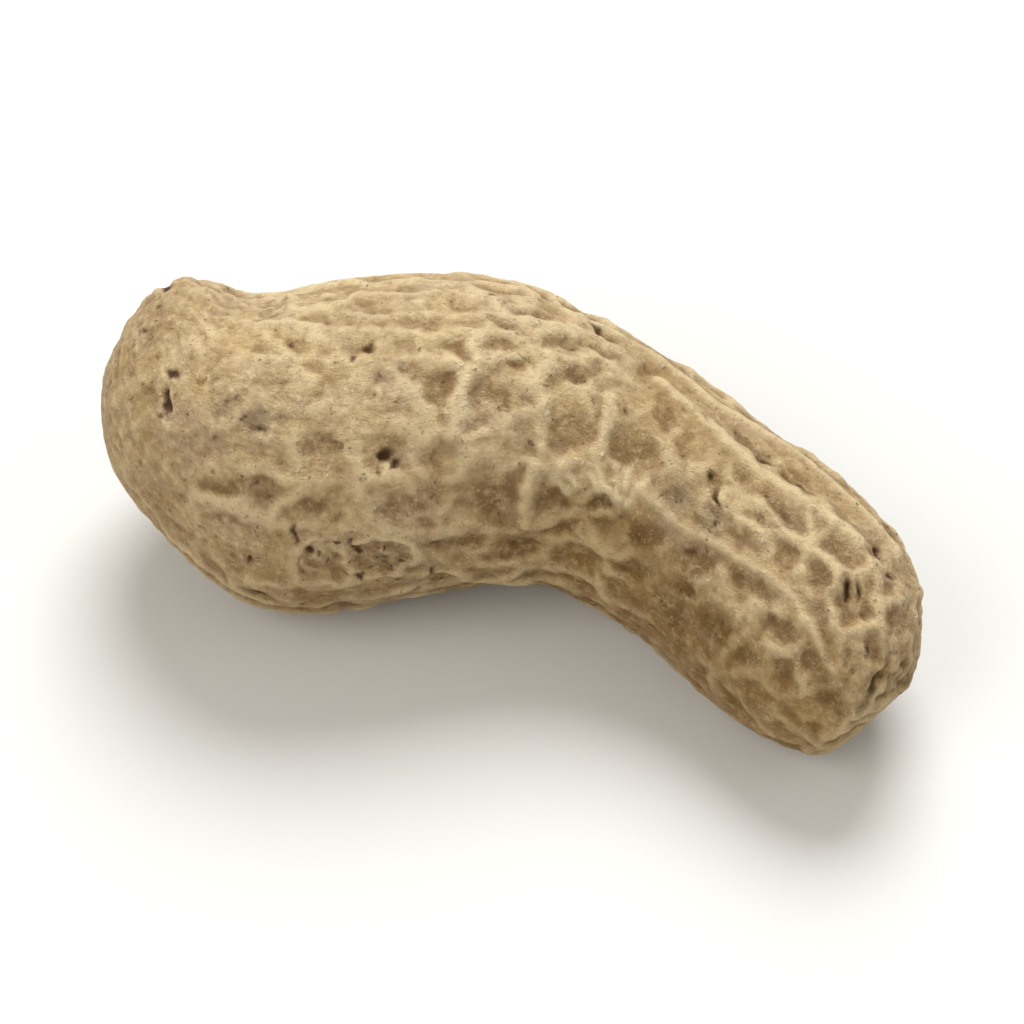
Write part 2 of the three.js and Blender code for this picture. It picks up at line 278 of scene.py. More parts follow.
# Pale ridges: points, half-width, height, lightness.
RIDGES = (
    ([(3.15, 8.50), (5.04, 7.67), (7.14, 6.61), (9.24, 5.14), (10.92, 3.78), (13.44, 2.10), (15.54, 0.84),
      (17.22, -0.63), (18.90, -2.31), (20.37, -3.99)], 0.42, 0.24, 0.85),
    ([(7.98, 5.04), (9.66, 3.57), (11.34, 1.78), (13.44, 0.00), (15.54, -1.36), (16.80, -2.31),
      (18.06, -3.57)], 0.40, 0.21, 0.80),
    ([(5.46, 3.99), (4.72, 2.31), (4.41, 0.84), (2.94, 0.63), (1.78, 0.84)], 0.32, 0.12, 0.70),
    ([(-5.46, 2.31), (-4.20, 1.99), (-2.52, 2.21), (-0.84, 2.10), (1.05, 1.89)], 0.38, 0.08, 0.50),
    ([(-11.55, -0.32), (-9.24, -0.21), (-6.93, -0.10), (-4.62, 0.10)], 0.42, 0.10, 0.40),
    ([(-3.78, -2.10), (-2.94, -0.63), (-3.15, 0.63)], 0.29, 0.08, 0.40),
    ([(0.84, -2.10), (1.05, -0.42), (1.47, 0.84)], 0.29, 0.08, 0.40),
    ([(-7.98, -2.31), (-8.19, -0.63)], 0.27, 0.07, 0.35),
    ([(-13.65, -2.10), (-11.34, -2.42), (-8.82, -2.56), (-5.46, -2.73), (-2.10, -2.62),
      (0.84, -2.73)], 0.32, 0.12, 0.50),
    ([(-5.46, -4.93), (-2.52, -4.83), (0.84, -4.83), (3.99, -4.83)], 0.38, 0.10, 0.45),
    ([(6.72, -0.63), (8.82, -2.31), (11.13, -3.67), (13.23, -4.93), (14.91, -6.30), (15.75, -7.98),
      (16.80, -10.08)], 0.32, 0.16, 0.60),
    ([(11.76, -1.68), (13.23, -3.36), (14.91, -5.04), (15.54, -6.30)], 0.25, 0.08, 0.35),
    ([(12.60, -1.05), (13.86, -2.73), (15.33, -3.67), (16.59, -4.41), (16.91, -5.88), (16.80, -7.77),
      (17.64, -9.87)], 0.27, 0.15, 0.60),
    ([(16.17, -1.26), (17.43, -2.52), (18.48, -3.78), (19.11, -5.25), (19.32, -7.14), (19.53, -8.82),
      (19.74, -10.29)], 0.27, 0.15, 0.60),
    ([(15.33, -3.57), (16.17, -3.36), (16.80, -2.52)], 0.21, 0.10, 0.45),
    ([(16.80, -5.88), (17.43, -5.04), (18.69, -4.83), (19.32, -4.41)], 0.21, 0.12, 0.50),
    ([(17.01, -7.98), (18.06, -7.98), (19.11, -7.77)], 0.21, 0.10, 0.45),
    ([(12.18, -2.52), (11.34, -3.57)], 0.23, 0.08, 0.30),
    ([(11.55, -6.30), (11.13, -5.04)], 0.23, 0.09, 0.35),
    ([(13.02, -8.82), (12.60, -7.14), (13.23, -6.30)], 0.25, 0.10, 0.40),
    ([(14.91, -8.82), (15.33, -7.56)], 0.25, 0.10, 0.40),
    ([(7.56, 3.99), (6.51, 2.94), (5.25, 2.73)], 0.25, 0.09, 0.45),
    ([(9.03, 2.52), (7.98, 1.89)], 0.23, 0.07, 0.35),
    ([(-1.68, 5.46), (-2.52, 4.20), (-2.52, 2.94)], 0.29, 0.08, 0.40),
    ([(1.89, 4.20), (1.47, 2.94), (1.89, 1.47)], 0.27, 0.08, 0.40),
    ([(-5.46, 2.94), (-5.67, 4.62), (-6.09, 5.88)], 0.27, 0.07, 0.35),
    ([(-7.77, 2.31), (-7.98, 0.84), (-7.56, 0.00)], 0.27, 0.07, 0.35),
    ([(-11.34, 2.52), (-11.34, 0.84)], 0.27, 0.06, 0.30),
    ([(-15.96, 8.40), (-12.18, 7.88), (-7.56, 7.67), (-4.20, 7.35), (-0.84, 7.35), (2.52, 7.46),
      (5.46, 6.51)], 0.21, 0.10, 0.45),
    ([(-14.91, 9.34), (-10.71, 8.61), (-6.09, 8.40), (-2.10, 8.40), (1.68, 7.98), (4.62, 7.14)], 0.19, 0.09, 0.45),
    ([(-12.18, 9.24), (-7.56, 9.45), (-2.94, 9.66), (1.68, 9.13), (3.78, 8.40)], 0.19, 0.08, 0.40),
    ([(-13.02, 6.09), (-9.24, 5.98), (-5.46, 6.19), (-1.89, 5.77), (2.10, 6.30), (5.46, 5.04)], 0.23, 0.09, 0.45),
    ([(-7.56, 10.08), (-2.94, 10.29), (1.47, 9.87)], 0.19, 0.06, 0.35),
    ([(5.46, -1.26), (3.99, 0.10)], 0.18, 0.10, 1.00),
    ([(5.46, -1.26), (4.72, 0.42)], 0.18, 0.10, 1.00),
    ([(5.67, -1.26), (5.56, 0.63)], 0.18, 0.10, 1.00),
    ([(5.88, -1.26), (6.40, 0.42)], 0.18, 0.10, 1.00),
    ([(6.09, -1.36), (7.14, -0.10)], 0.18, 0.10, 1.00),
    ([(3.57, -0.42), (2.73, 0.53)], 0.18, 0.10, 1.00),
    ([(3.15, -0.84), (1.89, 0.21)], 0.18, 0.10, 1.00),
    ([(21.46, -7.35), (21.63, -8.82), (21.50, -10.08), (21.00, -11.13), (20.27, -11.87)], 0.24, 0.12, 0.85),
    ([(20.41, -9.87), (19.91, -10.71), (19.36, -11.45), (18.79, -12.14)], 0.20, 0.10, 0.80),
    ([(21.00, -8.82), (20.58, -9.45), (20.27, -10.08)], 0.20, 0.08, 0.50),
)
# Holes, cracks and spots of dirt, and painted shade lines in the grooves beside the pale ridges: u, v, half-length,
# half-width, turn, depth, darkness.
FLECKS = (
    # the first five are long thin dark lines in the grooves between the two pale ridges: painted shade
    (4.83, 7.56, 1.05, 0.13, -28, 0.10, 0.70), (12.81, 1.26, 1.68, 0.13, -36, 0.12, 0.75), (10.29, 3.04, 1.05, 0.10, -42, 0.08, 0.45),
    (15.01, -0.32, 1.26, 0.10, -36, 0.10, 0.65), (9.24, 3.46, 0.84, 0.10, -44, 0.06, 0.35),
    (-18.16, 10.00, 0.29, 0.19, 20, 0.20, 0.95), (19.21, -11.03, 1.18, 0.19, 55, 0.18, 0.72), (19.53, -4.20, 0.21, 0.13, -40, 0.08, 0.40),
    (-17.66, 5.40, 0.34, 0.25, 0, 0.16, 0.95), (-18.06, 3.99, 0.71, 0.17, -82, 0.26, 1.00),
    (-18.38, 3.30, 0.25, 0.13, 0, 0.14, 0.75), (-17.64, 3.04, 0.19, 0.17, 0, 0.12, 0.65),
    (-19.00, 4.62, 0.25, 0.21, 0, 0.10, 0.55), (-19.84, 6.30, 0.17, 0.25, 0, 0.10, 0.50),
    (-7.46, 6.83, 0.38, 0.21, 15, 0.16, 0.85), (-8.08, 6.30, 0.25, 0.17, 0, 0.12, 0.75),
    (-5.50, 5.46, 0.25, 0.19, 0, 0.12, 0.65), (-7.14, 4.20, 0.21, 0.25, 0, 0.14, 0.70),
    (-11.34, 6.97, 0.25, 0.17, 0, 0.10, 0.60), (-9.45, 1.89, 0.42, 0.21, -10, 0.10, 0.50),
    (-6.40, 1.16, 0.38, 0.27, -10, 0.26, 1.00), (-5.98, 0.63, 0.38, 0.19, 40, 0.20, 0.95),
    (-6.93, 0.32, 0.19, 0.15, 0, 0.14, 0.70), (-5.67, 1.68, 0.17, 0.17, 0, 0.10, 0.60),
    (-13.06, 2.62, 0.34, 0.21, 0, 0.10, 0.75), (-13.86, 3.15, 0.19, 0.15, 0, 0.08, 0.55),
    (-14.70, 3.88, 0.25, 0.15, 30, 0.08, 0.50), (-10.58, -3.78, 0.27, 0.21, -20, 0.20, 0.95),
    (-8.19, -3.63, 0.34, 0.17, 0, 0.18, 0.85), (-11.21, -3.11, 0.59, 0.12, -85, 0.16, 0.85),
    (-3.99, -3.42, 0.40, 0.13, 0, 0.10, 0.70), (-7.98, -5.14, 0.21, 0.19, 0, 0.20, 0.95),
    (-9.03, -4.20, 0.32, 0.15, -10, 0.12, 0.60), (-6.93, -4.30, 0.29, 0.15, -10, 0.12, 0.60),
    (-10.92, -4.62, 0.46, 0.13, -75, 0.10, 0.55), (-5.25, -3.67, 0.29, 0.13, -10, 0.08, 0.50),
    (-13.75, -4.51, 0.21, 0.21, 0, 0.20, 1.00), (-13.33, -6.30, 0.46, 0.13, -5, 0.14, 0.90),
    (-4.20, -4.93, 0.34, 0.13, 35, 0.12, 0.75), (-5.04, -5.73, 0.34, 0.10, 25, 0.10, 0.60),
    (-15.22, -2.21, 0.25, 0.17, -20, 0.10, 0.50), (-16.17, -1.68, 0.19, 0.13, -10, 0.08, 0.45),
    (0.59, 6.09, 0.34, 0.17, -8, 0.10, 0.60), (3.67, 5.04, 0.34, 0.19, 0, 0.10, 0.60),
    (4.72, 7.64, 0.71, 0.10, -30, 0.18, 0.90), (4.09, 6.72, 0.34, 0.17, -20, 0.10, 0.60),
    (1.47, 8.50, 0.55, 0.10, -8, 0.06, 0.45), (10.50, -0.06, 0.21, 0.19, 0, 0.20, 0.95),
    (11.05, -1.26, 0.42, 0.17, -88, 0.26, 1.00), (10.71, -2.48, 0.21, 0.17, 0, 0.14, 0.75),
    (8.29, -0.21, 0.17, 0.19, 0, 0.08, 0.40), (7.56, -0.32, 0.19, 0.23, 0, 0.10, 0.55),
    (14.38, -1.99, 0.55, 0.17, -42, 0.12, 0.70), (7.25, 5.88, 0.34, 0.15, -40, 0.08, 0.50),
    (17.49, -5.77, 0.53, 0.16, -87, 0.30, 1.00), (18.19, -5.98, 0.53, 0.14, -94, 0.22, 0.90),
    (18.38, -7.14, 0.29, 0.38, 0, 0.10, 0.55), (19.95, -5.08, 0.34, 0.15, -10, 0.18, 0.85),
    (19.24, -3.78, 0.34, 0.13, -70, 0.20, 0.90), (21.00, -5.46, 0.17, 0.17, 0, 0.10, 0.55),
    (20.79, -6.51, 0.17, 0.17, 0, 0.10, 0.50), (18.59, -9.03, 0.42, 0.13, -90, 0.12, 0.65),
    (19.00, -11.13, 0.25, 0.13, 50, 0.10, 0.70), (19.63, -10.29, 0.40, 0.10, 60, 0.10, 0.60),
    (13.75, -7.46, 0.21, 0.29, 0, 0.08, 0.50), (9.34, -3.88, 0.46, 0.21, -10, 0.10, 0.60),
    (11.97, -5.21, 0.55, 0.15, -35, 0.10, 0.50), (-17.01, 8.61, 0.17, 0.13, 0, 0.08, 0.50),
    (-16.06, 7.35, 0.13, 0.21, 0, 0.08, 0.50), (-17.75, 8.08, 0.17, 0.10, 0, 0.06, 0.40),
    (-14.91, 8.61, 0.19, 0.10, -20, 0.06, 0.40), (0.21, 2.52, 0.17, 0.13, 0, 0.06, 0.40),
    (-1.68, 2.94, 0.19, 0.10, 0, 0.06, 0.35), (1.99, 1.89, 0.13, 0.29, 0, 0.06, 0.40),
    (-12.39, 0.42, 0.13, 0.10, 0, 0.05, 0.30), (-2.94, -6.09, 0.19, 0.10, 0, 0.08, 0.50),
    (-1.05, -4.09, 0.46, 0.08, 0, 0.07, 0.50), (1.26, -3.88, 0.46, 0.08, 12, 0.07, 0.45),
    (16.17, -1.89, 0.21, 0.17, -40, 0.10, 0.50), (12.81, 1.36, 0.55, 0.08, -36, 0.08, 0.55),
)


U, V, Wd = base[:, 0], base[:, 1], base[:, 2]
facing = normal[:, 2]
slow = field(base, 5.2, 1)
slow2 = field(base, 2.6, 2)
broken = field(base, 0.9, 9)
rough = 1 + 0.5 * field(base, 0.5, 8)


def shift(scale_a, amount_a, scale_b, amount_b, seed):
    """The surface points, moved about by noise, so that nothing drawn from them has a clean edge."""
    return base + np.stack([amount_a * field(base, scale_a, seed + k) + amount_b * field(base, scale_b, seed + 3 + k)
                            for k in range(3)], -1)


ragged = shift(0.8, 0.24, 0.4, 0.13, 31)
loose = shift(1.7, 0.55, 0.75, 0.26, 61)


def on_top(u, v):
    """The shown surface point over (u, v) of the leaning plane."""
    d = (U - u) ** 2 + (V - v) ** 2 + np.where(facing > 0.05, 0, 1e6)
    return base[np.argmin(d)]


# Cells of the net. On the shown side they are the traced hollows, elsewhere they lie in rows
# from the stalk scar to the beak, with the joints of one row beside the middles of the next.
seeds = []       # point, along, across, third axis, half-length, half-width, third size, strength, row
for u, v, a, b, turn, s in HOLLOWS:
    c, sn = math.cos(math.radians(turn)), math.sin(math.radians(turn))
    seeds.append((on_top(u, v), (c, sn, 0), (-sn, c, 0), (0, 0, 1), a, b, 3.0, s, -1))
ROWS = 22
taken = np.array([s[0] for s in seeds])
for row in range(ROWS):
    a0 = TAU * (row + 0.5) / ROWS
    line_s = sample(S_TAB, T_TAB, np.full(T_STEPS, a0))
    at = 1.3 + (1.55 if row % 2 else 0.0) + RNG.uniform(-0.4, 0.4)
    while at < line_s[-1] - 1.0:
        t = np.interp(at, line_s, T_TAB)
        r_here = float(sample(R_TAB, np.array([t]), np.array([a0]))[0])
        a_here = a0 + RNG.normal(0, 0.22) / max(r_here, 1.0)
        p = base_point(t, a_here)
        ahead, behind = base_point(t + 0.05, a_here), base_point(t - 0.05, a_here)
        along = ahead - behind
        along /= max(np.linalg.norm(along), 1e-9)
        side = base_point(t, a_here + 0.02) - p
        side -= along * (side @ along)
        side /= max(np.linalg.norm(side), 1e-9)
        third = np.cross(along, side)
        a, b = RNG.uniform(0.75, 1.15), RNG.uniform(0.5, 0.75)
        if r_here < 5:
            b *= max(r_here / 5, 0.5)
        delta = taken - p
        gap = np.sqrt((delta @ along / 2.2) ** 2 + (delta @ side / (1.65 if r_here > 5 else 1.0)) ** 2 + (delta @ third / 3.0) ** 2)
        is_shown = np.argmin(((base - p) ** 2).sum(1))
        shown = facing[is_shown] > 0.3
        if gap[:len(HOLLOWS)].min() > 1 and gap.min() > 0.72:
            s = RNG.uniform(0.03, 0.22) if shown else float(RNG.beta(1.3, 1.3))
            seeds.append((p, along, side, third, a, b, 2.0, s, row))
            taken = np.concatenate([taken, p[None]])
        at += float(np.clip(RNG.normal(3.0, 0.55), 2.0, 4.4))
seed_p = np.array([s[0] for s in seeds])
seed_axes = np.array([[s[1], s[2], s[3]] for s in seeds], float)
seed_size = np.array([[s[4], s[5], s[6]] for s in seeds])
seed_dark = np.array([s[7] for s in seeds])
seed_row = np.array([s[8] for s in seeds])
M = len(seeds)

NEAR = 12
far2 = (loose**2).sum(1)[:, None] + (seed_p**2).sum(1)[None] - 2 * loose @ seed_p.T
near = np.argpartition(far2, NEAR, axis=1)[:, :NEAR]
delta = np.einsum("nkj,nkij->nki", loose[:, None] - seed_p[near], seed_axes[near])
metric = seed_size[near] + np.array([0.45, 0.42, 0.0])
e = delta / metric
hidden = np.where(seed_row[near] < 0, np.clip(0.1 - facing[:, None], 0, 1) * 4, 0)
dist = np.sqrt((e**2).sum(2) + hidden**2 + 1e-6)
slope = np.einsum("nki,nkij->nkj", e / metric, seed_axes[near]) / dist[..., None]
order = np.argsort(dist, axis=1)
rows_i = np.arange(len(base))[:, None]
dist_o, slope_o, near_o = dist[rows_i, order], slope[rows_i, order], near[rows_i, order]

pair = RNG.uniform(0, 1, (M, M))
pair = np.triu(pair) + np.triu(pair, 1).T
both_rows = (seed_row[:, None] >= 0) & (seed_row[None] >= 0)
same_row = both_rows & (seed_row[:, None] == seed_row[None])
joint = np.where(same_row, 0.15 + 0.8 * pair, np.where(both_rows, 0.6 + 0.5 * pair, 0.35 + 0.6 * pair))


def ridge(d, w):
    return 0.72 * np.exp(-((d / w) ** 2)) + 0.28 * np.exp(-((d / (2.2 * w)) ** 2))


net_w = 0.56 + 0.2 * field(base, 1.6, 3)
net = np.zeros(len(base))
for k in range(1, 5):
    across = (dist_o[:, k] - dist_o[:, 0]) / np.maximum(np.linalg.norm(slope_o[:, k] - slope_o[:, 0], axis=1), 0.35)
    net = np.maximum(net, joint[near_o[:, 0], near_o[:, k]] * ridge(across, net_w))

# the hollows themselves, darkest in the middle
own = np.sqrt(((delta / np.maximum(seed_size[near], 0.26)) ** 2).sum(2) + hidden**2)
own = own * (1 + 0.3 * broken[:, None])
bowl = seed_dark[near] * (1 - smooth(own, 0.45, 1.6))
hollow = bowl.max(1)

# ribs that run on past several cells, out of the traced part
long_rib = np.zeros(len(base))
for r in range(ROWS):
    a0 = TAU * r / ROWS + RNG.normal(0, 0.04)
    bend = RNG.normal(0, 0.5, 4)
    off = va - a0 - (0.35 * np.sin(arc / 7.0 + bend[0] * 6) + 0.2 * np.sin(arc / 3.1 + bend[1] * 6)) / np.maximum(radius, 2.0)
    off = np.abs(np.mod(off + math.pi, TAU) - math.pi) * radius
    long_rib = np.maximum(long_rib, (0.55 + 0.2 * bend[2]) * np.exp(-((off / 0.42) ** 2)))

# how strongly the net stands out over the pod
weak = np.exp(-(((U + 19.0) / 5.2) ** 2 + ((V - 4.5) / 9.0) ** 2 + ((Wd - 12) / 11.0) ** 4))
weak = np.maximum(weak, 0.6 * np.exp(-(((U + 13.5) / 5.0) ** 2 + ((V + 3.5) / 3.5) ** 2 + ((Wd - 15) / 6.0) ** 2)))
traced = smooth(facing, 0.0, 0.35)
front = np.exp(-(((U + 7.0) / 11.0) ** 2 + ((V - 2.0) / 7.5) ** 2 + ((Wd - 17) / 7.0) ** 2))
strength = np.clip(1.0 + 0.65 * slow + 0.55 * slow2, 0.12, 1.7)
ends = smooth(arc, 0.5, 3.5) * smooth(arc_end, 0.3, 2.2)
relief = strength * (1 - 0.65 * weak) * (1 - 0.38 * front) * (0.3 + 0.7 * ends) * (1 - 0.3 * smooth(U, 1.0, 9.0) * traced)
net = np.maximum(net, long_rib * (1 - traced) * 0.8)
hollow = hollow * (1 - 0.5 * weak * (1 - traced)) * smooth(arc, 0.8, 2.6) * smooth(arc_end, 0.6, 2.0)

dent = np.zeros(len(base))
dirt_and_groove_shade = np.zeros(len(base))
pale = np.zeros(len(base))
grey = np.zeros(len(base))
drawn = np.zeros(len(base))
suture = np.zeros(len(base))


def pit(p, r, depth, colour=1.0):
    """A small hole with a slightly raised rim."""
    d = np.linalg.norm(ragged - p, axis=1) / r * rough
    dent[:] -= depth * np.exp(-(d**2)) - 0.22 * depth * np.exp(-(((d - 1.7) / 0.55) ** 2))
    dirt_and_groove_shade[:] = np.maximum(dirt_and_groove_shade, colour * np.exp(-((d / 1.05) ** 2)))


def fleck(u, v, a, b, turn, depth, colour):
    """One of the holes, cracks, spots of dirt and painted shade lines in grooves on the shown side."""
    p = on_top(u, v)
    c, sn = math.cos(math.radians(turn)), math.sin(math.radians(turn))
    x, y, z_ = (ragged - p).T
    a, b = max(a, 0.13), max(b, 0.13)
    d = np.sqrt(((x * c + y * sn) / a) ** 2 + ((y * c - x * sn) / b) ** 2 + (z_ / 2.5) ** 2 + np.where(facing < 0, 9, 0)) * rough
    dent[:] -= 1.15 * depth * np.exp(-(d**2)) - 0.25 * depth * np.exp(-(((d - 1.75) / 0.5) ** 2))
    dirt_and_groove_shade[:] = np.maximum(dirt_and_groove_shade, colour * np.exp(-((d / 1.1) ** 2)))
    pale[:] = np.maximum(pale, 0.4 * colour * np.exp(-(((d - 2.0) / 0.55) ** 2)) * np.clip(0.4 + 1.6 * broken, 0, 1))


def stroke(points, w, high, light):
    """A low pale ridge along a line on the shown side."""
    p = [on_top(*q) for q in points]
    d = np.full(len(base), 1e9)
    at = ragged if high < 0.16 else 0.35 * ragged + 0.65 * base
    for a, b in zip(p[:-1], p[1:]):
        ab = b - a
        k = np.clip(((at - a) @ ab) / max(ab @ ab, 1e-9), 0, 1)
        d = np.minimum(d, np.linalg.norm(at - (a + k[:, None] * ab), axis=1))
    long_one = high >= 0.16
    e = ridge(d * (0.5 + 0.5 * rough) if not long_one else d, max(w, 0.2))
    e = e * (np.clip(0.92 + 0.35 * broken, 0.7, 1.05) if long_one else np.clip(0.85 + 0.9 * broken, 0.15, 1.1))
    if long_one:
        suture[:] = np.maximum(suture, np.exp(-((d / 0.85) ** 2)))
        pale[:] = np.maximum(pale, 0.55 * light * e**1.5)
    if light >= 1.0:
        pale[:] = np.maximum(pale, 0.75 * e)
    dent[:] += 1.5 * high * e - 0.35 * high * np.exp(-(((d - 3.0 * max(w, 0.2)) / (1.2 * max(w, 0.2))) ** 2))
    drawn[:] = np.maximum(drawn, light * e)


for f in FLECKS:
    fleck(*f)
for line in RIDGES:
    stroke(*line)

# the two seams, where the traced lines don't show them
for a0, lo, hi, high in ((math.radians(181), 6.0, 5.0, 0.20), (math.radians(-7), 4.0, 26.0, 0.14)):
    off = va - a0 - 0.10 * np.sin(arc / 4.3)
    off = np.abs(np.mod(off + math.pi, TAU) - math.pi) * radius
    e = ridge(off, 0.42) * smooth(arc, lo, lo + 4) * smooth(arc_end, hi, hi + 4) * np.clip(0.9 + 0.6 * broken, 0.5, 1.1)
    dent += 1.5 * high * e - 0.06 * np.exp(-(((off - 1.2) / 0.5) ** 2)) * smooth(arc, lo, lo + 4) * smooth(arc_end, hi, hi + 4)
    drawn = np.maximum(drawn, 0.7 * e)
    suture = np.maximum(suture, np.exp(-((off / 0.85) ** 2)) * smooth(arc, lo, lo + 4) * smooth(arc_end, hi, hi + 4))

# scattered over the whole pod, the hidden sides included
for k in RNG.choice(len(base), 90, replace=False):
    if facing[k] > 0.25 and RNG.random() < 0.6:
        continue
    pit(base[k], RNG.uniform(0.13, 0.26), RNG.uniform(0.05, 0.14), RNG.uniform(0.35, 0.9))
END_RNG = np.random.default_rng(7)               # the stalk end is pitted more thickly
for k in END_RNG.choice(np.where((U < -13.5) & (facing > 0.0))[0], 44, replace=False):
    pit(base[k], END_RNG.uniform(0.14, 0.27), END_RNG.uniform(0.04, 0.12), END_RNG.uniform(0.3, 0.75))
for k in RNG.choice(len(base), 20, replace=False):
    if facing[k] > 0.2:
        continue
    p = base[k]
    for _ in range(RNG.integers(3, 7)):
        q = p + RNG.normal(0, 0.9, 3)
        q = base[np.argmin(((base - q) ** 2).sum(1))]
        pit(q, RNG.uniform(0.16, 0.36), RNG.uniform(0.08, 0.22), RNG.uniform(0.5, 1.0))


def torn(p, a, b, turn, axis_u, axis_v, depth):
    """A patch where the outer skin has come away."""
    c, sn = math.cos(math.radians(turn)), math.sin(math.radians(turn))
    x, y = (ragged - p) @ axis_u, (ragged - p) @ axis_v
    far = (ragged - p) @ np.cross(axis_u, axis_v)
    d = np.sqrt(((x * c + y * sn) / a) ** 2 + ((y * c - x * sn) / b) ** 2 + (far / 3) ** 2)
    inside_ = 1 - smooth(d, 0.82, 1.0)
    crumbs = field(base, 0.42, 71)
    dent[:] -= inside_ * (depth - 0.16 * np.abs(crumbs) - 0.04 * field(base, 0.9, 72))
    dirt_and_groove_shade[:] = np.maximum(dirt_and_groove_shade, 0.75 * inside_ * smooth(-crumbs - 0.3 * broken, 0.05, 0.5))
    dirt_and_groove_shade[:] = np.maximum(dirt_and_groove_shade, 0.5 * np.exp(-(((d - 0.93) / 0.08) ** 2)) * np.clip(0.3 + 1.8 * broken, 0, 1))
    dent[:] += 0.05 * np.exp(-(((d - 1.08) / 0.1) ** 2)) * np.clip(0.5 + 1.2 * broken, 0, 1)
    pale[:] = np.maximum(pale, 0.5 * np.exp(-(((d - 1.08) / 0.1) ** 2)) * np.clip(0.5 + 1.2 * broken, 0, 1))
    return inside_


axis_u, axis_v = np.array([1.0, 0, 0]), np.array([0, 1.0, 0])
skinned = torn(on_top(-7.9, -4.1), 3.2, 1.15, -3, axis_u, axis_v, 0.13)
for k in RNG.choice(np.where(facing < -0.2)[0], 3, replace=False):
    seed_near = np.argmin(((seed_p - base[k]) ** 2).sum(1))
    skinned = np.maximum(skinned, torn(base[k], RNG.uniform(1.6, 3.0), RNG.uniform(0.8, 1.4), RNG.uniform(-30, 30),
                                       seed_axes[seed_near, 0], seed_axes[seed_near, 1], 0.12))

# the ring left by the flower's style
p = on_top(20.83, -10.37)
d = np.linalg.norm((ragged - p) * np.array([1.0, 0.8, 1.0]), axis=1)
torn_ring = np.clip(0.75 + 1.1 * field(base, 0.55, 81), 0.15, 1.0)
dent += 0.06 * np.exp(-((d / 0.2) ** 2)) - 0.15 * torn_ring * np.exp(-(((d - 0.4) / 0.19) ** 2)) + 0.06 * np.exp(-(((d - 0.85) / 0.25) ** 2))
dirt_and_groove_shade = np.maximum(dirt_and_groove_shade, 0.62 * torn_ring * np.exp(-(((d - 0.4) / 0.17) ** 2)))
pale = np.maximum(pale, torn_ring * (0.6 * np.exp(-((d / 0.17) ** 2)) + 0.4 * np.exp(-(((d - 0.85) / 0.22) ** 2))))

# the stalk scar and the beak
r_a = np.linalg.norm(ragged - base_point(0, 0), axis=1)
r_b = np.linalg.norm(0.5 * ragged + 0.5 * base - base_point(LAST, 0), axis=1)
scar = -0.45 * np.exp(-((r_a / 0.7) ** 2)) + 0.17 * np.exp(-(((r_a - 1.2) / 0.38) ** 2)) - 0.06 * np.exp(-(((r_a - 2.0) / 0.4) ** 2))
spokes = np.sin(7 * va + 1.5 * np.sin(2 * va)) * np.exp(-(((r_b - 2.2) / 1.5) ** 2))
beak = 0.3 * np.exp(-((r_b / 1.1) ** 2)) - 0.1 * np.exp(-(((r_b - 2.0) / 0.6) ** 2)) + 0.08 * spokes
dirt_and_groove_shade = np.maximum(dirt_and_groove_shade, 0.9 * np.exp(-((r_a / 0.62) ** 2)))
pale = np.maximum(pale, np.clip(0.5 + 0.9 * broken, 0, 0.8) * np.exp(-(((r_a - 1.2) / 0.36) ** 2)))
drawn = np.maximum(drawn, 0.5 * np.clip(spokes, 0, 1))

# grey weathered patches
for u, v, r in ((-13.2, 2.7, 1.2), (-15.0, 3.6, 0.8), (-6.0, 5.6, 0.7), (9.0, -1.3, 1.0), (10.5, -2.4, 0.8)):
    d = np.linalg.norm(ragged - on_top(u, v), axis=1) / r * rough
    grey = np.maximum(grey, np.exp(-(d**2)))
for k in RNG.choice(np.where(facing < 0)[0], 9, replace=False):
    d = np.linalg.norm(ragged - base[k], axis=1) / RNG.uniform(0.7, 1.5) * rough
    grey = np.maximum(grey, 0.8 * np.exp(-(d**2)))

# lumps, grain and short streaks along the pod
flow = np.stack([7.6 * np.cos(va), 7.6 * np.sin(va), arc], -1)
drawn_out = flow * np.array([1, 1, 0.2])
streak = field(drawn_out, 0.55, 52) + 0.6 * field(drawn_out, 0.3, 53)
top = smooth(V + 0.58 * np.clip(U - 2, 0, 30), 4.0, 8.0) * smooth(U, -17.5, -14.0)
lump = 0.17 * field(base, 7.5, 4) + 0.10 * field(base, 3.4, 5) * (1 - 0.4 * suture) + 0.075 * field(base, 1.5, 6, 2) * (1 - 0.75 * suture)
crease = 1 - 2.2 * np.abs(field(base, 1.15, 41)) + 0.7 * (1 - 2.2 * np.abs(field(base, 0.62, 42)))
fine = (0.045 * field(base, 0.7, 7, 2) + 0.022 * field(base, 0.38, 51) + 0.012 * crease
        + 0.028 * streak * (0.35 + 0.65 * top) * (1 - weak)
        + weak * (0.065 * field(base, 0.6, 91, 2) + 0.05 * np.abs(field(base, 0.95, 92)))) * (1 - 0.6 * suture)

# the stalk end is cut a little flatter below, and the beak end is a little shorter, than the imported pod
form = (-0.62 * np.exp(-(((U + 18.0) * 0.62 - (V + 4.3) * 0.785) / 5.2) ** 2 - (((U + 18.0) * 0.785 + (V + 4.3) * 0.62) / 3.6) ** 2
                       - ((Wd - 9.7) / 8.0) ** 4)
        - 0.55 * np.exp(-(((U - 22.2) ** 2 + (V + 7.4) ** 2) / 4.6**2) - ((Wd - 15) / 7.0) ** 4)
        - 0.35 * np.exp(-(((U - 19.6) ** 2 + (V + 13.2) ** 2) / 3.6**2)))

hollow = hollow * (1 - 0.5 * suture)
net = net * (1 - 0.85 * suture)
net_height = (0.36 * net - 0.24 * hollow * (0.55 + 0.45 * (1 - front))) * relief
height = net_height + lump + fine + dent + scar + beak + form


def spread(values, times):
    """The values, averaged with their neighbours a number of times."""
    n = np.bincount(quads.ravel(), minlength=len(values))
    for _ in range(times):
        values = np.bincount(quads.ravel(), np.repeat(values[quads].mean(1), 4), len(values)) / n
    return values


